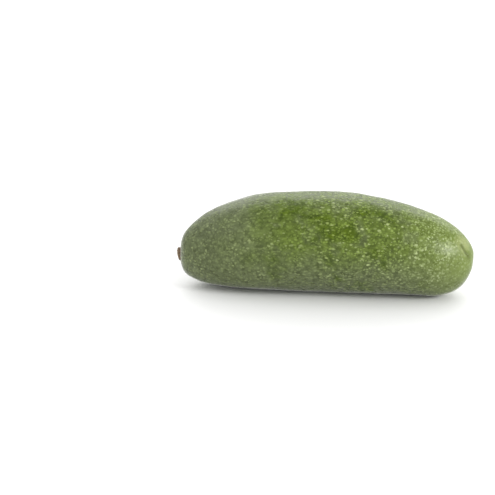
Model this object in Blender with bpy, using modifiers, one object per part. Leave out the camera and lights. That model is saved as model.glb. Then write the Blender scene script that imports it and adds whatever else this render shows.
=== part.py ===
"""A whole seedless cocktail avocado, lying on its straighter side.

The fruit is one solid that grew along X: its stem end is at -X and its blossom end at +X. Seen from the side its back
is arched and its underside nearly straight, so it rests on a small flat spot. A dry stem button sits in a socket at
the stem end. The origin is the bottom centre of the whole, and +Z is up.
"""

import math

import bmesh
import bpy
from mathutils import Matrix, Vector, noise

MM = 0.001

# The fruit's outline
LENGTH = 79.3 * MM
HEIGHT = 26.85 * MM
WIDTH = 27.2 * MM
STEM_TIP_HEIGHT = 8.6 * MM
BLOSSOM_TIP_HEIGHT = 11.4 * MM
STEM_BACK_POWER = 2.36
BLOSSOM_BACK_POWER = 1.92
STEM_SIDE_POWER = 2.5
BLOSSOM_SIDE_POWER = 2.7
STEM_UNDERSIDE_POWER = 8.0
BLOSSOM_UNDERSIDE_POWER = 10.2
STEM_SWAY = 1.0 * MM
BLOSSOM_SWAY = 2.0 * MM

# Where it rests
REST_DEPTH = 0.2 * MM
BELLY_RADIUS = 900 * MM
CALM_HEIGHT = 2.5 * MM

# Soft lumps of the skin: height, length along the fruit, and length around it
LUMPS = (
    (0.30 * MM, 19 * MM, 8.5 * MM),
    (0.09 * MM, 7 * MM, 4 * MM),
)

# Stem end
STEM_TILT = math.radians(14)
STEM_DIMPLE_DEPTH = 0.75 * MM
STEM_DIMPLE_RADIUS = 3.4 * MM
STEM_COLLAR_HEIGHT = 0.22 * MM
STEM_COLLAR_RADIUS = 5.2 * MM
STEM_COLLAR_WIDTH = 1.5 * MM
SOCKET_DEPTH = 0.8 * MM
BUTTON_RADIUS = 2.0 * MM
BUTTON_PROUD = 0.7 * MM
GAP = 0.3 * MM

# Blossom end: a soft swelling low on its near side, and at the tip a small lobe with a short crease beside it
SWELLING_CENTRE = Vector((32.5, -8.5, 2.5)) * MM
SWELLING_HEIGHT = 1.1 * MM
SWELLING_RADIUS = 7.0 * MM
LOBE_FROM_TIP = Vector((-0.8, -1.6, 2.4)) * MM
LOBE_HEIGHT = 0.32 * MM
LOBE_RADIUS = 4.1 * MM
CREASE_FROM_TIP = Vector((-2.6, -4.0, 2.6)) * MM
CREASE_DIRECTION = Vector((0.55, 0.04, -0.83)).normalized()
CREASE_HALF_LENGTH = 1.9 * MM
CREASE_DEPTH = 0.34 * MM
CREASE_RADIUS = 1.1 * MM

# Mesh density
SIDES = 56
RINGS = 66
BUTTON_SIDES = 32


def clear_scene():
    for obj in list(bpy.data.objects):
        bpy.data.objects.remove(obj)


def collection(name):
    made = bpy.data.collections.new(name)
    bpy.context.scene.collection.children.link(made)
    return made


def material(name, colour, roughness):
    made = bpy.data.materials.new(name)
    made.use_nodes = True
    shader = made.node_tree.nodes["Principled BSDF"]
    shader.inputs["Base Color"].default_value = (*colour, 1)
    shader.inputs["Roughness"].default_value = roughness
    shader.inputs["Metallic"].default_value = 0
    made.diffuse_color = (*colour, 1)
    return made


def round_end(share, power):
    """1 at mid length and 0 at a tip, rounding over like an ellipse, or more squarely for a higher power."""
    return math.sqrt(max(0.0, 1 - share**power))


def tip_of(end):
    """The stem tip for end -1 or the blossom tip for end 1."""
    if end < 0:
        return Vector((-LENGTH / 2, -STEM_SWAY, STEM_TIP_HEIGHT))
    return Vector((LENGTH / 2, -BLOSSOM_SWAY, BLOSSOM_TIP_HEIGHT))


def plain_point(station, angle):
    """A point of the smooth fruit. station runs from -1 at the stem tip to 1 at the blossom tip."""
    at_stem = station < 0
    share = abs(station)
    x = station * LENGTH / 2
    tip = tip_of(-1 if at_stem else 1)
    back_power = STEM_BACK_POWER if at_stem else BLOSSOM_BACK_POWER
    side_power = STEM_SIDE_POWER if at_stem else BLOSSOM_SIDE_POWER
    underside_power = STEM_UNDERSIDE_POWER if at_stem else BLOSSOM_UNDERSIDE_POWER
    low = x * x / (2 * BELLY_RADIUS) - REST_DEPTH
    back = tip.z + (HEIGHT - tip.z) * round_end(share, back_power)
    under = tip.z - (tip.z - low) * round_end(share, underside_power)
    half_width = WIDTH / 2 * round_end(share, side_power)
    middle = (back + under) / 2
    half_height = (back - under) / 2
    return Vector((x, tip.y * share**2 + half_width * math.cos(angle), middle + half_height * math.sin(angle)))


def bump(distance, radius):
    return math.exp(-((distance / radius) ** 2))


def distance_to_line(point, start, direction):
    offset = point - start
    return (offset - direction * offset.dot(direction)).length


def distance_to_crease(point):
    offset = point - (tip_of(1) + CREASE_FROM_TIP)
    along = max(-CREASE_HALF_LENGTH, min(CREASE_HALF_LENGTH, offset.dot(CREASE_DIRECTION)))
    return (offset - CREASE_DIRECTION * along).length


def stem_axis():
    """Points out of the fruit along its stalk."""
    return Vector((-math.cos(STEM_TILT), 0, -math.sin(STEM_TILT)))


def relief(point):
    """How far the skin stands out of the smooth fruit at this point."""
    calm = min(1.0, max(0.0, point.z / CALM_HEIGHT))
    height = 0.0
    for depth, along, around in LUMPS:
        where = Vector((point.x / along, point.y / around, point.z / around))
        height += calm * depth * noise.noise(where)
    if point.x < 0:
        off_stem = distance_to_line(point, tip_of(-1), stem_axis())
        height -= STEM_DIMPLE_DEPTH * bump(off_stem, STEM_DIMPLE_RADIUS)
        height += STEM_COLLAR_HEIGHT * bump(off_stem - STEM_COLLAR_RADIUS, STEM_COLLAR_WIDTH)
    else:
        height += SWELLING_HEIGHT * bump((point - SWELLING_CENTRE).length, SWELLING_RADIUS)
        height += LOBE_HEIGHT * bump((point - tip_of(1) - LOBE_FROM_TIP).length, LOBE_RADIUS)
        height -= CREASE_DEPTH * bump(distance_to_crease(point), CREASE_RADIUS)
    return height


def fruit_solid():
    """A sphere whose poles are the tips, drawn out to the fruit's outline and given its relief and flat spot."""
    mesh = bmesh.new()
    bmesh.ops.create_uvsphere(mesh, u_segments=SIDES, v_segments=RINGS, radius=1)
    for vertex in mesh.verts:
        station = max(-1.0, min(1.0, vertex.co.z))
        vertex.co = plain_point(station, math.atan2(vertex.co.y, vertex.co.x))
    bmesh.ops.recalc_face_normals(mesh, faces=mesh.faces)
    mesh.normal_update()
    moves = [vertex.normal * relief(vertex.co) for vertex in mesh.verts]
    for vertex, move in zip(mesh.verts, moves):
        vertex.co += move
    cut = bmesh.ops.bisect_plane(
        mesh,
        geom=[*mesh.verts, *mesh.edges, *mesh.faces],
        dist=0.001 * MM,
        plane_co=(0, 0, 0),
        plane_no=(0, 0, 1),
        clear_inner=True,
    )
    rim = [item for item in cut["geom_cut"] if isinstance(item, bmesh.types.BMEdge)]
    bmesh.ops.holes_fill(mesh, edges=rim, sides=len(rim))
    bmesh.ops.recalc_face_normals(mesh, faces=mesh.faces)
    return mesh


def object_from(mesh, name, group, look=None):
    data = bpy.data.meshes.new(name)
    mesh.to_mesh(data)
    mesh.free()
    made = bpy.data.objects.new(name, data)
    group.objects.link(made)
    if look:
        data.materials.append(look)
        data.shade_smooth()
    return made


def stem_frame(point):
    """The matrix whose +Z leaves the fruit along the stalk, at a point on the stem's axis."""
    turn = stem_axis().to_track_quat("Z", "Y").to_matrix().to_4x4()
    return Matrix.Translation(point) @ turn


def skin_at_stem(fruit):
    """Where the stem's axis meets the skin."""
    reach = stem_axis() * LENGTH / 4
    hit, point, _, _ = fruit.ray_cast(tip_of(-1) + reach, -stem_axis())
    if not hit:
        raise ValueError("the stem's axis misses the fruit")
    return point


def cut_socket(fruit, floor, group):
    """A round socket in the stem end, whose floor is at the given point, for the stem button."""
    height = SOCKET_DEPTH + STEM_DIMPLE_RADIUS
    mesh = bmesh.new()
    bmesh.ops.create_cone(
        mesh,
        cap_ends=True,
        segments=BUTTON_SIDES,
        radius1=BUTTON_RADIUS + GAP,
        radius2=BUTTON_RADIUS + GAP,
        depth=height,
        matrix=Matrix.Translation((0, 0, height / 2)),
    )
    cutter = object_from(mesh, "socket_cutter", group)
    cutter.matrix_world = stem_frame(floor)
    cutter.hide_render = True
    cutter.display_type = "WIRE"
    cut = fruit.modifiers.new("socket", "BOOLEAN")
    cut.operation = "DIFFERENCE"
    cut.solver = "EXACT"
    cut.object = cutter


def stem_button(floor, group, look):
    """The dry stub of the stalk: a low turned disc with a rounded rim, a groove and a domed middle."""
    base = GAP
    top = SOCKET_DEPTH + BUTTON_PROUD
    profile = (
        (0.00, top - 0.05 * MM),
        (0.28, top - 0.02 * MM),
        (0.45, top - 0.16 * MM),
        (0.60, top - 0.20 * MM),
        (0.76, top),
        (0.90, top - 0.08 * MM),
        (1.00, top - 0.35 * MM),
        (0.97, top - 0.80 * MM),
        (0.86, base),
        (0.00, base),
    )
    mesh = bmesh.new()
    points = [mesh.verts.new((share * BUTTON_RADIUS, 0, height)) for share, height in profile]
    for first, second in zip(points, points[1:]):
        mesh.edges.new((first, second))
    button = object_from(mesh, "stem_button", group, look)
    button.matrix_world = stem_frame(floor)
    turn = button.modifiers.new("turn", "SCREW")
    turn.axis = "Z"
    turn.steps = BUTTON_SIDES
    turn.render_steps = BUTTON_SIDES
    turn.use_merge_vertices = True
    turn.merge_threshold = 0.001 * MM
    return button


def bounds(objects):
    """The lowest and highest corner of the box round these objects, modifiers included."""
    bpy.context.view_layer.update()
    graph = bpy.context.evaluated_depsgraph_get()
    points = []
    for obj in objects:
        shown = obj.evaluated_get(graph)
        points += [shown.matrix_world @ vertex.co for vertex in shown.to_mesh().vertices]
        shown.to_mesh_clear()
    low = Vector(min(point[axis] for point in points) for axis in range(3))
    high = Vector(max(point[axis] for point in points) for axis in range(3))
    return low, high


def main():
    clear_scene()
    avocado = collection("avocado")
    cutters = collection("cutters")
    skin = material("avocado_skin", (0.085, 0.125, 0.030), 0.42)
    stalk = material("dry_stalk", (0.17, 0.10, 0.045), 0.80)

    fruit = object_from(fruit_solid(), "fruit", avocado, skin)
    bpy.context.view_layer.update()
    floor = skin_at_stem(fruit) - stem_axis() * SOCKET_DEPTH
    cut_socket(fruit, floor, cutters)
    button = stem_button(floor, avocado, stalk)

    # The origin is moved to the bottom centre of the whole.
    whole = bpy.data.objects.new("whole", None)
    avocado.objects.link(whole)
    for obj in (fruit, button, *cutters.objects):
        obj.parent = whole
    low, high = bounds((fruit, button))
    whole.location = (-(low.x + high.x) / 2, -(low.y + high.y) / 2, -low.z)


main()
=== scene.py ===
"""The looks of the whole seedless cocktail avocado: skin, stem button, pale floor, soft light and camera.

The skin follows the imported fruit's outline with a finer surface. All its colours are procedural.
"""

import math

import bmesh
import bpy
from mathutils import Matrix, Vector, noise


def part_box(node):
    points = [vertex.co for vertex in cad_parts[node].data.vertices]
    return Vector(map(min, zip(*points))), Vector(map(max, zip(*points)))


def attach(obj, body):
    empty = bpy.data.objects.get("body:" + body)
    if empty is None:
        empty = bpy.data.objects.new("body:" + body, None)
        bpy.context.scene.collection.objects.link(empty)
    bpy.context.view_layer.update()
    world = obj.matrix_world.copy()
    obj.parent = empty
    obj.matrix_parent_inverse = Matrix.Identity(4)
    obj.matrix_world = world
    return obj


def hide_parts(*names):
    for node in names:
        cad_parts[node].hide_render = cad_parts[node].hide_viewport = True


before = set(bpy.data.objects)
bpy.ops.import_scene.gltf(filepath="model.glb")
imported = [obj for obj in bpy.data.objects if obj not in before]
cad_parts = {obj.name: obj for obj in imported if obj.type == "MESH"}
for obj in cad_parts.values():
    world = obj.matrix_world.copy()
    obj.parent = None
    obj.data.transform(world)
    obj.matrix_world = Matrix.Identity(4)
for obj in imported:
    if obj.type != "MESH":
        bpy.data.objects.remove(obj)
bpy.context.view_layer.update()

MM = 0.001

# The fruit's outline, as in the part. Its place comes from the imported fruit's box.
LENGTH = 79.3 * MM
HEIGHT = 26.85 * MM
WIDTH = 27.2 * MM
STEM_TIP_HEIGHT = 8.6 * MM
BLOSSOM_TIP_HEIGHT = 11.4 * MM
STEM_BACK_POWER = 2.36
BLOSSOM_BACK_POWER = 1.92
STEM_SIDE_POWER = 2.5
BLOSSOM_SIDE_POWER = 2.7
STEM_UNDERSIDE_POWER = 8.0
BLOSSOM_UNDERSIDE_POWER = 10.2
STEM_SWAY = 1.0 * MM
BLOSSOM_SWAY = 2.0 * MM
REST_DEPTH = 0.2 * MM
BELLY_RADIUS = 900 * MM
CALM_HEIGHT = 2.5 * MM

# Lumps of the skin: height, length along the fruit, and length around it. The first two are the part's.
LUMPS = (
    (0.30 * MM, 19 * MM, 8.5 * MM),
    (0.09 * MM, 7 * MM, 4 * MM),
    (0.05 * MM, 2.6 * MM, 1.9 * MM),
)

# Stem end
STEM_TILT = math.radians(14)
STEM_DIMPLE_DEPTH = 0.75 * MM
STEM_DIMPLE_RADIUS = 3.4 * MM
STEM_COLLAR_HEIGHT = 0.22 * MM
STEM_COLLAR_RADIUS = 5.2 * MM
STEM_COLLAR_WIDTH = 1.5 * MM
SOCKET_DEPTH = 0.8 * MM
SOCKET_RADIUS = 2.0 * MM
SOCKET_WALL = 0.35 * MM

# Stem button, in the space of the part's: shares of its radius, and depths below its highest point
BUTTON_RADIUS = 2.0 * MM
BUTTON_SIDES = 96
BUTTON_RINGS = 30
BUTTON_RAGGED = 0.09
BUTTON_FOOT = 0.86
BUTTON_WALL_RINGS = 6
BUTTON_EDGE = 0.72
BUTTON_EDGE_DROP = 0.35 * MM
BUTTON_GROOVE = 0.54
BUTTON_GROOVE_WIDTH = 0.14
BUTTON_GROOVE_DEPTH = 0.20 * MM
CRACK_DEPTH = 0.22 * MM
CRACK_WIDTH = 0.12
CRACKS_ACROSS = 1.9
CRACK_WANDER = 0.4
CRUMBLE = 0.10 * MM
CRUMBLE_SIZE = 0.45 * MM
CRUMBLE_LAYER = 3
RAGGED_WAVES = 2.6

# A low rise on the back, towards the stem end
RISE_CENTRE = Vector((-19.0, 3.8, 24.2)) * MM
RISE_HEIGHT = 0.30 * MM
RISE_RADIUS = 6.5 * MM

# Blossom end
SWELLING_CENTRE = Vector((32.5, -8.5, 2.5)) * MM
SWELLING_HEIGHT = 1.1 * MM
SWELLING_RADIUS = 7.0 * MM
LOBE_FROM_TIP = Vector((-0.8, -1.6, 2.4)) * MM
LOBE_HEIGHT = 0.32 * MM
LOBE_RADIUS = 4.1 * MM
CREASE_FROM_TIP = Vector((-2.6, -4.0, 2.6)) * MM
CREASE_DIRECTION = Vector((0.55, 0.04, -0.83)).normalized()
CREASE_HALF_LENGTH = 1.8 * MM
CREASE_DEPTH = 0.50 * MM
CREASE_RADIUS = 0.65 * MM
SCAR_DEPTH = 0.15 * MM
SCAR_RADIUS = 0.55 * MM

# Where the bloom is rubbed off the near side: each patch's place, half its length along the fruit and its
# radius, in millimetres
RUBBED_PATCHES = (
    (-8.3, -7.3, 24.5, 1.6, 3.4),
    (-1.6, -9.3, 23.2, 2.6, 2.4),
    (4.4, -11.8, 20.1, 3.4, 3.4),
    (11.4, -6.9, 24.4, 2.0, 2.6),
    (16.2, -7.4, 23.4, 1.2, 2.6),
    (14.0, -12.8, 14.5, 1.2, 1.8),
)

# The blossom end's marks, in millimetres: how far the lobe's colour, partly painted light, is from the tip, a
# painted highlight as a grainy pale spot, a smooth spot with few lenticels, and for each end of the crease the
# radius of its painted olive shade
LOBE_PAINTED_LIGHT_FROM_TIP = Vector((-3.2, -3.2, 4.2))
PAINTED_HIGHLIGHT_SPOT = (33.0, -8.6, 15.3)
SMOOTH_SPOT = (34.0, -9.0, 7.0)
CREASE_END_PAINTED_SHADE_RADII = {-1: 1.3, 1: 1.7}

# Colours of those marks: the lobe, partly painted light, the painted highlight, the painted crease shade and
# the scar
# The lobe's lighter yellow colour is partly its own and partly painted light
LOBE_COLOUR_AND_PAINTED_LIGHT = (0.300, 0.335, 0.140)
# Painted highlight: a pale, grainy spot on the blossom end
PAINTED_HIGHLIGHT_COLOUR = (0.350, 0.395, 0.220)
# Painted shade in the crease and at both its ends
CREASE_PAINTED_SHADE_COLOUR = (0.085, 0.110, 0.018)
SCAR_COLOUR = (0.120, 0.078, 0.032)

# Colours of the skin: plain, under thick bloom (low down, painted reflection of the pale floor), rubbed bare,
# and at the blossom end
DARK_PLAIN = (0.050, 0.074, 0.008)
DARK_BLOOM_AND_REFLECTION = (0.064, 0.079, 0.031)
DARK_RUBBED = (0.026, 0.046, 0.0)
LIGHT_PLAIN = (0.115, 0.162, 0.027)
LIGHT_BLOOM_AND_REFLECTION = (0.122, 0.149, 0.066)
LIGHT_RUBBED = (0.078, 0.124, 0.0)
BLOSSOM_GROUND = (0.142, 0.188, 0.040)
# Pits: their dark colour is painted shade in the small dents
PIT_SHADE_PLAIN = (0.046, 0.064, 0.006)
PIT_SHADE_BLOSSOM = (0.088, 0.116, 0.018)
DOT_PLAIN = (0.190, 0.262, 0.052)
DOT_BLOOM_AND_REFLECTION = (0.210, 0.255, 0.104)
DOT_RUBBED = (0.140, 0.198, 0.026)
DOT_BLOSSOM = (0.36, 0.425, 0.205)
LENTICEL_PLAIN = (0.34, 0.40, 0.175)
LENTICEL_RUBBED = (0.28, 0.35, 0.09)
LENTICEL_BLOSSOM = (0.42, 0.485, 0.280)

# Colours of the cork and the stalk
CORK_DARK = (0.105, 0.060, 0.022)
CORK_LIGHT = (0.24, 0.17, 0.085)
STALK_DARK = (0.060, 0.030, 0.014)
STALK_LIGHT = (0.30, 0.19, 0.095)
STALK_GROOVE = (0.050, 0.026, 0.012)
STALK_EDGE = (0.24, 0.19, 0.13)

# Spots: how far apart they are, their least and greatest radius, and the strength of the faintest. The first
# three are in millimetres.
LARGE_SPOTS = (1.5, 0.16, 0.42, 0.5)
MIDDLING_SPOTS = (0.90, 0.10, 0.34, 0.4)
FINE_SPOTS = (0.60, 0.16, 0.42, 0.4)
PIT_SPOTS = (0.80, 0.15, 0.38, 0.3)

# Where a spot starts to show and where it is full, as shares of its radius
SPOT_EDGE = (1.0, 0.5)

# What the fruit's length is pressed to where spots are drawn, which makes them longer along it: for dots and
# mottles, for lenticels at mid length, and what is added to that at a tip
DOT_PRESS = 0.80
DASH_PRESS_AT_MIDDLE = 0.56
DASH_PRESS_TO_END = 0.30

# Noises: the size of their lumps in millimetres, and their detail
MOTTLE_NOISE = (1.2, 4)
PATCH_NOISE = (9, 3)
BLOOM_NOISE = (6.0, 3)
BLOOM_DRIFT_NOISE = (4.5, 3)
LENTICEL_NOISE = (5.0, 2)
HIGHLIGHT_GRAIN_NOISE = (0.65, 2)
CORK_EDGE_NOISE = (0.55, 4)
CORK_NOISE = (0.3, 3)
STALK_NOISE = (0.35, 4)

# Wobbles: the size of their waves and their reach, in millimetres
SPOT_WOBBLE = (0.8, 0.5)
PIT_WOBBLE = (1.1, 2.0)
PATCH_WOBBLE = (2.5, 4.0)
MARK_WOBBLE = (1.6, 3.0)
SCAR_WOBBLE = (0.5, 0.6)
WOBBLE_DETAIL = 1.0
NOISE_MEAN = (0.5, 0.5, 0.5)

# Ramps: from where, to where, and the values there if they aren't 0 and 1. Distances are in millimetres.
# The painted crease-end shade's ramp lacks its first place, the radius, which the table of crease-end radii
# has.
PATCH_RAMP = (0.58, 0.74)
PATCHES_ALONG = (-24.0, -8.0, 0.15, 1.0)
# Painted reflection of the pale floor: the grey bloom thickens low down
PAINTED_FLOOR_REFLECTION_LOW = (21.0, 11.0)
BLOOM_STEMWARD = (4.0, -20.0)
BLOOM_DRIFTS = (0.46, 0.66, 0.0, 0.62)
BLOSSOM_ALONG = (0.50, 1.30)
# Painted shade: the blossom end's lighter colour fades lower down
BLOSSOM_PAINTED_SHADE_LOW = (3.0, 12.0, 0.45, 1.0)
LENTICEL_DRIFTS = (0.30, 0.65, 0.65, 1.1)
LENTICELS_ALONG = (-14.0, 8.0, 0.62, 1.0)
LENTICELS_OFF_LOBE = (1.5, 5.5, 0.30, 1.0)
LENTICELS_OFF_SMOOTH_SPOT = (2.0, 7.0, 0.35, 1.0)
LENTICELS_TO_TIP = (0.78, 1.0, 1.0, 0.6)
PITS_TO_BLOSSOM = (0.0, 0.6, 0.6, 1.0)
MOTTLE_RAMP = (0.25, 0.80)
ROUGHNESS_RAMP = (0.3, 0.7, 0.26, 0.34)
LOBE_PAINTED_LIGHT_RAMP = (3.8, 0.8, 0.0, 0.60)
PAINTED_HIGHLIGHT_RAMP = (3.2, 0.8, 0.0, 0.42)
PAINTED_HIGHLIGHT_GRAINS = (0.42, 0.62, 0.12, 1.0)
CREASE_PAINTED_SHADE_RAMP = (0.75, 0.10, 0.0, 0.85)
CREASE_END_PAINTED_SHADE = (0.2, 0.0, 0.5)
SCAR_SHADE = (0.75, 0.45, 0.0, 0.9)
CORK_EDGE = (3.9, 3.5)
GRAIN_RAMP = (0.35, 0.65)
GROOVE_SHADE = (0.40, 0.05, 0.0, 0.6)
STALK_EDGE_SHADE = (1.45, 1.85, 0.0, 0.5)

# How far the stalk's axis is followed each way from the stem tip, in millimetres
STALK_AXIS_HALF_LENGTH = LENGTH / 4 / MM

# How far out a rubbed patch reaches, as a share of its radius
PATCH_REACH = 1.1

# How far noise moves the edges of the bloom and the cork, in millimetres. Along the fruit the bloom's moves
# are BLOOM_RAGGED_ALONG times as large. The blossom end's are a share of half the fruit's length.
BLOOM_RAGGED = 7.0
BLOOM_RAGGED_ALONG = 2.6
BLOSSOM_RAGGED = 0.3
CORK_RAGGED = 2.2

# How fully spots cover what is under them
MIDDLING_STRENGTH = 0.85
FINE_STRENGTH = 0.9
LENTICEL_STRENGTH = 0.85

# How far spots raise or lower the surface, as shares of the bump height, and how strong the bumps are
LENTICEL_RISE = 0.5
FINE_RISE = 0.7
PIT_DROP = 0.6
SKIN_BUMP = 0.45
STALK_BUMP = 0.8
BUMP_HEIGHT = 0.10 * MM

# Finish
SKIN_SPECULAR_LEVEL = 0.18
SHEEN_WEIGHT = 0.7
SHEEN_ROUGHNESS = 0.2
STALK_ROUGHNESS = 0.8
FLOOR_COLOUR = (0.85, 0.85, 0.85, 1)
FLOOR_ROUGHNESS = 0.6
FLOOR_SPECULAR_LEVEL = 0.2
FLOOR_HALF_WIDTH = 3.0

# The Mix node's colour sockets, which share their names with those of its other data types
MIX_COLOURS_IN = (6, 7)
MIX_COLOUR_OUT = 2

# Mesh density: a coarse sphere, each of whose edges is then cut into four
COARSE_SIDES = 70
COARSE_RINGS = 80
CUTS = 3

# Camera: where it stands round the fruit, and where its axis passes the fruit's origin
CAMERA_AZIMUTH = math.radians(5.5)
CAMERA_ELEVATION = math.radians(20.0)
CAMERA_DISTANCE = 374 * MM
CAMERA_LENS = 100
CAMERA_SENSOR = 36
AIM_RIGHT = -20.5 * MM
AIM_UP = 10.9 * MM

# Light: the room's colour and brightness and each softbox's azimuth, elevation, width, height and brightness
ROOM_COLOUR = (1, 1, 1, 1)
ROOM_LEVEL = 1.0
SOFTBOX_DISTANCE = 2.0
SOFTBOXES = {
    "back": (180, 38, 3.0, 1.0, 2.45),
    "left": (-90, 42, 2.6, 1.0, 0.75),
    "right": (90, 14, 3.2, 0.9, 1.3),
    "key": (62, 27, 0.52, 0.47, 26.0),
}


def round_end(share, power):
    """1 at mid length and 0 at a tip, rounding over like an ellipse, or more squarely for a higher power."""
    return math.sqrt(max(0.0, 1 - share**power))


def tip_of(end):
    """The stem tip for end -1 or the blossom tip for end 1."""
    if end < 0:
        return Vector((-LENGTH / 2, -STEM_SWAY, STEM_TIP_HEIGHT))
    return Vector((LENGTH / 2, -BLOSSOM_SWAY, BLOSSOM_TIP_HEIGHT))


def stem_axis():
    """Points out of the fruit along its stalk."""
    return Vector((-math.cos(STEM_TILT), 0, -math.sin(STEM_TILT)))


def plain_point(station, angle):
    """A point of the smooth fruit. station runs from -1 at the stem tip to 1 at the blossom tip."""
    at_stem = station < 0
    share = abs(station)
    x = station * LENGTH / 2
    tip = tip_of(-1 if at_stem else 1)
    back_power = STEM_BACK_POWER if at_stem else BLOSSOM_BACK_POWER
    side_power = STEM_SIDE_POWER if at_stem else BLOSSOM_SIDE_POWER
    underside_power = STEM_UNDERSIDE_POWER if at_stem else BLOSSOM_UNDERSIDE_POWER
    low = x * x / (2 * BELLY_RADIUS) - REST_DEPTH
    back = tip.z + (HEIGHT - tip.z) * round_end(share, back_power)
    under = tip.z - (tip.z - low) * round_end(share, underside_power)
    half_width = WIDTH / 2 * round_end(share, side_power)
    middle = (back + under) / 2
    half_height = (back - under) / 2
    y = tip.y * share**2 + half_width * math.cos(angle)
    return Vector((x, y, middle + half_height * math.sin(angle)))


def bump(distance, radius):
    return math.exp(-((distance / radius) ** 2))


def distance_to_line(point, start, direction):
    offset = point - start
    return (offset - direction * offset.dot(direction)).length


def crease(point):
    """How deep the crease is at this point. It is deepest at its middle and runs out at its ends."""
    start = tip_of(1) + CREASE_FROM_TIP
    along = (point - start).dot(CREASE_DIRECTION) / CREASE_HALF_LENGTH
    taper = max(0.0, 1 - along**2)
    return CREASE_DEPTH * taper * bump(distance_to_line(point, start, CREASE_DIRECTION), CREASE_RADIUS)


def relief(point):
    """How far the skin stands out of the smooth fruit at this point."""
    calm = min(1.0, max(0.0, point.z / CALM_HEIGHT))
    height = 0.0
    for depth, along, around in LUMPS:
        where = Vector((point.x / along, point.y / around, point.z / around))
        height += calm * depth * noise.noise(where)
    if point.x < 0:
        off_stem = distance_to_line(point, tip_of(-1), stem_axis())
        height -= STEM_DIMPLE_DEPTH * bump(off_stem, STEM_DIMPLE_RADIUS)
        height += STEM_COLLAR_HEIGHT * bump(off_stem - STEM_COLLAR_RADIUS, STEM_COLLAR_WIDTH)
        wall = (SOCKET_RADIUS + SOCKET_WALL - off_stem) / SOCKET_WALL
        height -= SOCKET_DEPTH * min(1.0, max(0.0, wall))
        height += RISE_HEIGHT * bump((point - RISE_CENTRE).length, RISE_RADIUS)
    else:
        height += SWELLING_HEIGHT * bump((point - SWELLING_CENTRE).length, SWELLING_RADIUS)
        height += LOBE_HEIGHT * bump((point - tip_of(1) - LOBE_FROM_TIP).length, LOBE_RADIUS)
        height -= crease(point)
        height -= SCAR_DEPTH * bump((point - tip_of(1)).length, SCAR_RADIUS)
    return height


def skin_mesh():
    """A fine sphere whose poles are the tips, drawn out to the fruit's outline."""
    mesh = bmesh.new()
    bmesh.ops.create_uvsphere(mesh, u_segments=COARSE_SIDES, v_segments=COARSE_RINGS, radius=1)
    bmesh.ops.subdivide_edges(mesh, edges=mesh.edges, cuts=CUTS, use_grid_fill=True)
    for vertex in mesh.verts:
        on_sphere = vertex.co.normalized()
        vertex.co = plain_point(on_sphere.z, math.atan2(on_sphere.y, on_sphere.x))
    bmesh.ops.recalc_face_normals(mesh, faces=mesh.faces)
    mesh.normal_update()
    moves = [vertex.normal * relief(vertex.co) for vertex in mesh.verts]
    for vertex, move in zip(mesh.verts, moves):
        vertex.co += move
        vertex.co.z = max(0.0, vertex.co.z)
    return mesh


def noise_share(where):
    """Noise that is about 0 to 1."""
    return 0.5 + 0.5 * noise.noise(where)


def button_drop(share, angle):
    """How far the button's top lies below its highest point, at this share of its radius and this angle."""
    drop = BUTTON_EDGE_DROP * (max(0.0, share - BUTTON_EDGE) / (1 - BUTTON_EDGE)) ** 2
    drop += BUTTON_GROOVE_DEPTH * bump(share - BUTTON_GROOVE, BUTTON_GROOVE_WIDTH)
    around = Vector((math.cos(angle), math.sin(angle), 0)) * CRACKS_ACROSS
    gap = abs(noise.noise(around + Vector((0, 0, share * CRACK_WANDER))))
    drop += CRACK_DEPTH * share * bump(gap, CRACK_WIDTH)
    crumb = Vector((math.cos(angle) * share, math.sin(angle) * share, CRUMBLE_LAYER))
    return drop + CRUMBLE * noise_share(crumb * BUTTON_RADIUS / CRUMBLE_SIZE)


def button_point(ring, side, base, top):
    """A point of the button. Its rings run out over its top to the edge, then down its wall to its foot."""
    angle = 2 * math.pi * side / BUTTON_SIDES
    around = Vector((math.cos(angle), math.sin(angle), 0))
    radius = BUTTON_RADIUS * (1 - BUTTON_RAGGED * noise_share(around * RAGGED_WAVES))
    share = min(1.0, ring / BUTTON_RINGS)
    down = max(0.0, (ring - BUTTON_RINGS) / BUTTON_WALL_RINGS)
    rim = top - button_drop(share, angle)
    narrowed = 1 - (1 - BUTTON_FOOT) * down
    point = around * radius * share * narrowed
    point.z = rim + (base - rim) * down
    return point


def button_mesh(move):
    """The dry stub of the stalk: a ragged disc with a groove, a domed middle and cracks out to the edge."""
    start = tip_of(-1) + move
    in_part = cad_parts["stem_button"].data.vertices
    reaches = [(vertex.co - start).dot(stem_axis()) for vertex in in_part]
    base = min(reaches)
    top = max(reaches)
    mesh = bmesh.new()
    rings = [
        [mesh.verts.new(button_point(ring, side, base, top)) for side in range(BUTTON_SIDES)]
        for ring in range(1, BUTTON_RINGS + BUTTON_WALL_RINGS + 1)
    ]
    middle = mesh.verts.new((0, 0, top - button_drop(0.0, 0.0)))
    foot = mesh.verts.new((0, 0, base))
    for side in range(BUTTON_SIDES):
        after = (side + 1) % BUTTON_SIDES
        mesh.faces.new((middle, rings[0][side], rings[0][after]))
        mesh.faces.new((foot, rings[-1][after], rings[-1][side]))
        for inner, outer in zip(rings, rings[1:]):
            mesh.faces.new((inner[side], outer[side], outer[after], inner[after]))
    turn = stem_axis().to_track_quat("Z", "Y").to_matrix().to_4x4()
    bmesh.ops.transform(mesh, matrix=Matrix.Translation(start) @ turn, verts=mesh.verts)
    return mesh


def to_row_frame(mesh):
    """Moves the skin from the outline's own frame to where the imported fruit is, and returns that move."""
    low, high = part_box("fruit")
    middle = Vector((min(v.co.x for v in mesh.verts) + max(v.co.x for v in mesh.verts), 0, 0)) / 2
    middle.y = (min(v.co.y for v in mesh.verts) + max(v.co.y for v in mesh.verts)) / 2
    move = (low + high) / 2 - middle
    move.z = 0
    bmesh.ops.translate(mesh, verts=mesh.verts, vec=move)
    return move


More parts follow.
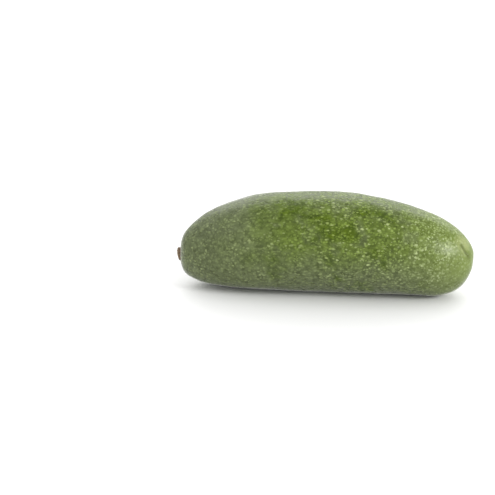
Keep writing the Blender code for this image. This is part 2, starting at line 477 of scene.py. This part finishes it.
def object_from(mesh, name, look):
    data = bpy.data.meshes.new(name)
    mesh.to_mesh(data)
    mesh.free()
    data.materials.append(look)
    data.shade_smooth()
    made = bpy.data.objects.new(name, data)
    bpy.context.scene.collection.objects.link(made)
    return made


def node(tree, kind, inputs=None, **settings):
    """A new node. An input given as another node's output is linked, and any other is set."""
    made = tree.nodes.new("ShaderNode" + kind)
    for name, value in settings.items():
        setattr(made, name, value)
    for name, value in (inputs or {}).items():
        if isinstance(value, bpy.types.NodeSocket):
            tree.links.new(value, made.inputs[name])
        else:
            made.inputs[name].default_value = value
    return made


def maths(tree, operation, first, second=0.0):
    return node(tree, "Math", {0: first, 1: second}, operation=operation).outputs[0]


def ramp(tree, value, low, high, low_value=0.0, high_value=1.0):
    """value eased from low_value at low to high_value at high, and held beyond them."""
    inputs = {"Value": value, "From Min": low, "From Max": high, "To Min": low_value, "To Max": high_value}
    return node(tree, "MapRange", inputs, interpolation_type="SMOOTHSTEP").outputs[0]


def blend(tree, share, first, second):
    """A colour that runs from first at share 0 to second at share 1."""
    made = node(tree, "Mix", {"Factor": share}, data_type="RGBA")
    for number, value in zip(MIX_COLOURS_IN, (first, second)):
        if isinstance(value, bpy.types.NodeSocket):
            tree.links.new(value, made.inputs[number])
        else:
            made.inputs[number].default_value = (*value, 1)
    return made.outputs[MIX_COLOUR_OUT]


def soft_noise(tree, where, size, detail):
    """Noise from 0 to 1 whose lumps are about this many millimetres."""
    return node(tree, "TexNoise", {"Vector": where, "Scale": 1 / size, "Detail": detail}).outputs["Fac"]


def material(name):
    made = bpy.data.materials.new(name)
    made.use_nodes = True
    return made, made.node_tree, made.node_tree.nodes["Principled BSDF"]


def millimetres(tree):
    """The object's own coordinates in millimetres."""
    own = node(tree, "TexCoord").outputs["Object"]
    return node(tree, "VectorMath", {0: own, "Scale": 1 / MM}, operation="SCALE").outputs[0]


def product(tree, *values):
    """All the values multiplied, in turn."""
    result = values[0]
    for value in values[1:]:
        result = maths(tree, "MULTIPLY", result, value)
    return result


def layered(tree, colour, layers):
    """colour with other colours laid over it in turn, each by its own share."""
    for share, over in layers:
        colour = blend(tree, share, colour, over)
    return colour


def raise_surface(tree, shader, height, strength):
    raised = node(tree, "Bump", {"Height": height, "Strength": strength, "Distance": BUMP_HEIGHT})
    tree.links.new(raised.outputs[0], shader.inputs["Normal"])


def spots(tree, where, spacing, least, most, faintest):
    """Soft round spots, spacing apart, with a radius from least to most and a strength from faintest to 1."""
    cells = node(tree, "TexVoronoi", {"Vector": where, "Scale": 1 / spacing, "Randomness": 1.0})
    draws = node(tree, "SeparateColor", {"Color": cells.outputs["Color"]}).outputs
    radius = ramp(tree, draws[0], 0.0, 1.0, least / spacing, most / spacing)
    share = maths(tree, "DIVIDE", cells.outputs["Distance"], radius)
    strength = ramp(tree, draws[1], 0.0, 1.0, faintest, 1.0)
    return product(tree, ramp(tree, share, *SPOT_EDGE), strength)


def wobbled(tree, where, size, reach):
    """where, pushed about by up to half of reach, so that what is drawn with it is less regular."""
    inputs = {"Vector": where, "Scale": 1 / size, "Detail": WOBBLE_DETAIL}
    push = node(tree, "TexNoise", inputs).outputs["Color"]
    centred = node(tree, "VectorMath", {0: push, 1: NOISE_MEAN}, operation="SUBTRACT").outputs[0]
    scaled = node(tree, "VectorMath", {0: centred, "Scale": reach}, operation="SCALE").outputs[0]
    return node(tree, "VectorMath", {0: where, 1: scaled}, operation="ADD").outputs[0]


def pressed(tree, parts, share):
    """Coordinates whose X is this share of its length, so that what they draw is longer along the fruit."""
    x = product(tree, parts.outputs["X"], share)
    where = node(tree, "CombineXYZ", {"X": x, "Y": parts.outputs["Y"], "Z": parts.outputs["Z"]}).outputs[0]
    return wobbled(tree, where, *SPOT_WOBBLE)


def distance_to(tree, where, centre, direction=(0, 0, 1), half_length=0.0):
    """Millimetres to a point, or to a stretch of a line that has the point at its middle."""
    offset = node(tree, "VectorMath", {0: where, 1: centre}, operation="SUBTRACT").outputs[0]
    along = node(tree, "VectorMath", {0: offset, 1: direction}, operation="DOT_PRODUCT").outputs["Value"]
    held = node(tree, "Clamp", {"Value": along, "Min": -half_length, "Max": half_length}).outputs[0]
    nearest = node(tree, "VectorMath", {0: direction, "Scale": held}, operation="SCALE").outputs[0]
    across = node(tree, "VectorMath", {0: offset, 1: nearest}, operation="SUBTRACT").outputs[0]
    return node(tree, "VectorMath", {0: across}, operation="LENGTH").outputs["Value"]


def distance_to_stalk(tree, where, move):
    """Millimetres to the stalk's axis, round the stem end."""
    return distance_to(tree, where, (tip_of(-1) + move) / MM, stem_axis(), STALK_AXIS_HALF_LENGTH)


def rubbed_patches(tree, where, parts):
    """1 where the bloom is rubbed off: the near side's patches, and softer ones away from the stem end."""
    ragged = wobbled(tree, where, *PATCH_WOBBLE)
    found = ramp(tree, soft_noise(tree, where, *PATCH_NOISE), *PATCH_RAMP)
    found = product(tree, found, ramp(tree, parts.outputs["X"], *PATCHES_ALONG))
    for x, y, z, half_length, radius in RUBBED_PATCHES:
        off = distance_to(tree, ragged, (x, y, z), (1, 0, 0), half_length)
        found = maths(tree, "MAXIMUM", found, ramp(tree, off, radius * PATCH_REACH, 0.0))
    return found


def bloom_and_painted_reflection(tree, where, parts):
    """1 where the grey bloom is thick: low down, where it is painted floor reflection, towards the stem end
    and, less so, in drifts elsewhere.
    """
    ragged = product(tree, soft_noise(tree, where, *BLOOM_NOISE), BLOOM_RAGGED)
    height = maths(tree, "ADD", parts.outputs["Z"], ragged)
    along = maths(tree, "ADD", parts.outputs["X"], product(tree, ragged, BLOOM_RAGGED_ALONG))
    # Painted reflection: low down the grey stands in for the pale floor's reflection
    low = ramp(tree, height, *PAINTED_FLOOR_REFLECTION_LOW)
    stemward = ramp(tree, along, *BLOOM_STEMWARD)
    drifts = ramp(tree, soft_noise(tree, where, *BLOOM_DRIFT_NOISE), *BLOOM_DRIFTS)
    return maths(tree, "MAXIMUM", maths(tree, "MAXIMUM", low, stemward), drifts)


def blossom_marks(tree, where, ground, move):
    """The yellow lobe, partly painted light, a painted highlight, the crease's painted olive shade and the
    tip's scar.
    """
    tip = (tip_of(1) + move) / MM
    crease_middle = (tip_of(1) + CREASE_FROM_TIP + move) / MM
    ragged = wobbled(tree, where, *MARK_WOBBLE)
    # The lobe's lighter colour, partly its own and partly painted light
    off_lobe = distance_to(tree, ragged, tip + LOBE_PAINTED_LIGHT_FROM_TIP)
    colour = blend(tree, ramp(tree, off_lobe, *LOBE_PAINTED_LIGHT_RAMP), ground, LOBE_COLOUR_AND_PAINTED_LIGHT)
    # Painted highlight: a pale, grainy spot laid over the lobe's colour
    highlight_grains = ramp(tree, soft_noise(tree, where, *HIGHLIGHT_GRAIN_NOISE), *PAINTED_HIGHLIGHT_GRAINS)
    off_highlight = distance_to(tree, ragged, PAINTED_HIGHLIGHT_SPOT)
    colour = blend(tree, product(tree, highlight_grains, ramp(tree, off_highlight, *PAINTED_HIGHLIGHT_RAMP)), colour, PAINTED_HIGHLIGHT_COLOUR)
    # Painted shade: the crease and both its ends are darker in colour, besides the dent in the mesh
    off_crease = distance_to(tree, where, crease_middle, CREASE_DIRECTION, CREASE_HALF_LENGTH / MM)
    colour = blend(tree, ramp(tree, off_crease, *CREASE_PAINTED_SHADE_RAMP), colour, CREASE_PAINTED_SHADE_COLOUR)
    for end, radius in CREASE_END_PAINTED_SHADE_RADII.items():
        shade = crease_middle + CREASE_DIRECTION * end * CREASE_HALF_LENGTH / MM
        off_end = distance_to(tree, where, shade)
        colour = blend(tree, ramp(tree, off_end, radius, *CREASE_END_PAINTED_SHADE), colour, CREASE_PAINTED_SHADE_COLOUR)
    off_tip = distance_to(tree, wobbled(tree, where, *SCAR_WOBBLE), tip)
    return blend(tree, ramp(tree, off_tip, *SCAR_SHADE), colour, SCAR_COLOUR)


def cork_rim(tree, where, share, move):
    """1 on the ragged corky ring round the stem button."""
    unevenness = product(tree, soft_noise(tree, where, *CORK_EDGE_NOISE), CORK_RAGGED)
    ragged = maths(tree, "ADD", distance_to_stalk(tree, where, move), unevenness)
    return product(tree, ramp(tree, ragged, *CORK_EDGE), maths(tree, "LESS_THAN", share, 0.0))


def spot_strength(tree, where, parts, share, move):
    """How strong the spots are: less towards the stem end, by the lobe and tip, and on the smooth spot."""
    off_lobe = distance_to(tree, where, (tip_of(1) + LOBE_FROM_TIP + move) / MM)
    off_smooth = distance_to(tree, where, SMOOTH_SPOT)
    return product(
        tree,
        ramp(tree, soft_noise(tree, where, *LENTICEL_NOISE), *LENTICEL_DRIFTS),
        ramp(tree, parts.outputs["X"], *LENTICELS_ALONG),
        ramp(tree, off_lobe, *LENTICELS_OFF_LOBE),
        ramp(tree, share, *LENTICELS_TO_TIP),
        ramp(tree, off_smooth, *LENTICELS_OFF_SMOOTH_SPOT),
    )


def skin_spots(tree, parts, share):
    """The lenticels, the fine dots and the pits, dents whose dark colour is painted shade. Lenticels are
    longest along the fruit at mid length.
    """
    near_end = maths(tree, "POWER", maths(tree, "ABSOLUTE", share), 2.0)
    press = maths(tree, "ADD", product(tree, near_end, DASH_PRESS_TO_END), DASH_PRESS_AT_MIDDLE)
    dashes = pressed(tree, parts, press)
    dots = pressed(tree, parts, DOT_PRESS)
    large = spots(tree, dashes, *LARGE_SPOTS)
    middling = product(tree, spots(tree, dashes, *MIDDLING_SPOTS), MIDDLING_STRENGTH)
    fine = spots(tree, dots, *FINE_SPOTS)
    pits = spots(tree, wobbled(tree, dots, *PIT_WOBBLE), *PIT_SPOTS)
    return maths(tree, "MAXIMUM", large, middling), fine, pits


def skin_colour(tree, where, parts, share, mottle, drawn, strength):
    """The mottled ground with the pits' painted shade, the fine dots and the lenticels over it."""
    lenticels, fine, pits = drawn
    blossom = ramp(tree, maths(tree, "ADD", share, product(tree, mottle, BLOSSOM_RAGGED)), *BLOSSOM_ALONG)
    # Painted shade: lower down, the blossom end gets less of its lighter colour
    blossom = product(tree, blossom, ramp(tree, parts.outputs["Z"], *BLOSSOM_PAINTED_SHADE_LOW))
    rubbed = rubbed_patches(tree, where, parts)
    bloom_and_reflection = bloom_and_painted_reflection(tree, where, parts)
    # The bloom colours also carry the painted floor reflection low down
    dark = layered(tree, DARK_PLAIN, ((bloom_and_reflection, DARK_BLOOM_AND_REFLECTION), (rubbed, DARK_RUBBED)))
    light = layered(tree, LIGHT_PLAIN, ((bloom_and_reflection, LIGHT_BLOOM_AND_REFLECTION), (rubbed, LIGHT_RUBBED)))
    # Painted shade: the pits are darkened in colour as well as dented
    pit_shade = blend(tree, blossom, PIT_SHADE_PLAIN, PIT_SHADE_BLOSSOM)
    dot = layered(tree, DOT_PLAIN, ((bloom_and_reflection, DOT_BLOOM_AND_REFLECTION), (rubbed, DOT_RUBBED), (blossom, DOT_BLOSSOM)))
    lenticel = layered(tree, LENTICEL_PLAIN, ((rubbed, LENTICEL_RUBBED), (blossom, LENTICEL_BLOSSOM)))
    pit_strength = product(tree, strength, ramp(tree, blossom, *PITS_TO_BLOSSOM))
    over_ground = (
        (blossom, BLOSSOM_GROUND),
        (product(tree, pits, pit_strength), pit_shade),
        (product(tree, fine, product(tree, strength, FINE_STRENGTH)), dot),
        (product(tree, lenticels, product(tree, strength, LENTICEL_STRENGTH)), lenticel),
    )
    return layered(tree, blend(tree, ramp(tree, mottle, *MOTTLE_RAMP), dark, light), over_ground)


def skin_material(move):
    """Dark green skin with lenticels, bloom, bare patches, a lighter blossom end, a cork ring, and painted
    light and shade.
    """
    made, tree, shader = material("avocado_skin")
    where = millimetres(tree)
    parts = node(tree, "SeparateXYZ", {0: where})
    share = maths(tree, "DIVIDE", parts.outputs["X"], LENGTH / 2 / MM)
    mottle = soft_noise(tree, pressed(tree, parts, DOT_PRESS), *MOTTLE_NOISE)
    drawn = skin_spots(tree, parts, share)
    strength = spot_strength(tree, where, parts, share, move)
    colour = skin_colour(tree, where, parts, share, mottle, drawn, strength)
    colour = blossom_marks(tree, where, colour, move)
    cork = blend(tree, ramp(tree, soft_noise(tree, where, *CORK_NOISE), *GRAIN_RAMP), CORK_DARK, CORK_LIGHT)
    colour = blend(tree, cork_rim(tree, where, share, move), colour, cork)
    tree.links.new(colour, shader.inputs["Base Color"])
    tree.links.new(ramp(tree, mottle, *ROUGHNESS_RAMP), shader.inputs["Roughness"])
    shader.inputs["Specular IOR Level"].default_value = SKIN_SPECULAR_LEVEL
    shader.inputs["Sheen Weight"].default_value = SHEEN_WEIGHT
    shader.inputs["Sheen Roughness"].default_value = SHEEN_ROUGHNESS
    lenticels, fine, pits = drawn
    height = maths(tree, "ADD", product(tree, lenticels, LENTICEL_RISE), product(tree, fine, FINE_RISE))
    height = maths(tree, "SUBTRACT", maths(tree, "ADD", height, mottle), product(tree, pits, PIT_DROP))
    raise_surface(tree, shader, height, SKIN_BUMP)
    return made


def stalk_material(move):
    """Dry brown wood, darker in its groove and greyer at its edge."""
    made, tree, shader = material("dry_stalk")
    where = millimetres(tree)
    grain = soft_noise(tree, where, *STALK_NOISE)
    off_axis = distance_to_stalk(tree, where, move)
    groove = BUTTON_GROOVE * BUTTON_RADIUS / MM
    off_groove = maths(tree, "ABSOLUTE", maths(tree, "SUBTRACT", off_axis, groove))
    colour = blend(tree, ramp(tree, grain, *GRAIN_RAMP), STALK_DARK, STALK_LIGHT)
    colour = blend(tree, ramp(tree, off_groove, *GROOVE_SHADE), colour, STALK_GROOVE)
    colour = blend(tree, ramp(tree, off_axis, *STALK_EDGE_SHADE), colour, STALK_EDGE)
    tree.links.new(colour, shader.inputs["Base Color"])
    shader.inputs["Roughness"].default_value = STALK_ROUGHNESS
    raise_surface(tree, shader, grain, STALK_BUMP)
    return made


def floor_material():
    made, _, shader = material("pale_floor")
    shader.inputs["Base Color"].default_value = FLOOR_COLOUR
    shader.inputs["Roughness"].default_value = FLOOR_ROUGHNESS
    shader.inputs["Specular IOR Level"].default_value = FLOOR_SPECULAR_LEVEL
    return made


def make_floor():
    mesh = bmesh.new()
    bmesh.ops.create_grid(mesh, x_segments=1, y_segments=1, size=FLOOR_HALF_WIDTH)
    floor = object_from(mesh, "floor", floor_material())


def softbox(name, azimuth, elevation, width, height, brightness):
    """A soft light that faces the fruit. Azimuth 0 is the front, and 90 is the blossom end."""
    data = bpy.data.lights.new(name, "AREA")
    data.shape = "RECTANGLE"
    data.size = width
    data.size_y = height
    data.energy = brightness * math.pi * width * height
    made = bpy.data.objects.new(name, data)
    bpy.context.scene.collection.objects.link(made)
    around = Matrix.Rotation(math.radians(azimuth), 4, "Z")
    turn = around @ Matrix.Rotation(math.radians(90 - elevation), 4, "X")
    made.matrix_world = turn @ Matrix.Translation((0, 0, SOFTBOX_DISTANCE))


def make_light():
    world = bpy.data.worlds.new("studio")
    bpy.context.scene.world = world
    world.use_nodes = True
    world.node_tree.nodes["Background"].inputs["Color"].default_value = ROOM_COLOUR
    world.node_tree.nodes["Background"].inputs["Strength"].default_value = ROOM_LEVEL
    for name, settings in SOFTBOXES.items():
        softbox(name, *settings)
    bpy.context.scene.view_settings.view_transform = "Standard"


def make_camera():
    data = bpy.data.cameras.new("camera")
    data.lens = CAMERA_LENS
    data.sensor_width = CAMERA_SENSOR
    camera = bpy.data.objects.new("camera", data)
    bpy.context.scene.collection.objects.link(camera)
    bpy.context.scene.camera = camera
    turn = Matrix.Rotation(CAMERA_AZIMUTH, 4, "Z") @ Matrix.Rotation(math.pi / 2 - CAMERA_ELEVATION, 4, "X")
    camera.matrix_world = turn @ Matrix.Translation((AIM_RIGHT, AIM_UP, CAMERA_DISTANCE))


def main():
    mesh = skin_mesh()
    move = to_row_frame(mesh)
    skin = object_from(mesh, "fruit_skin", skin_material(move))
    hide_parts("fruit")
    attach(skin, "root")
    stub = object_from(button_mesh(move), "stem_stub", stalk_material(move))
    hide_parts("stem_button")
    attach(stub, "root")
    make_floor()
    make_light()
    make_camera()


main()
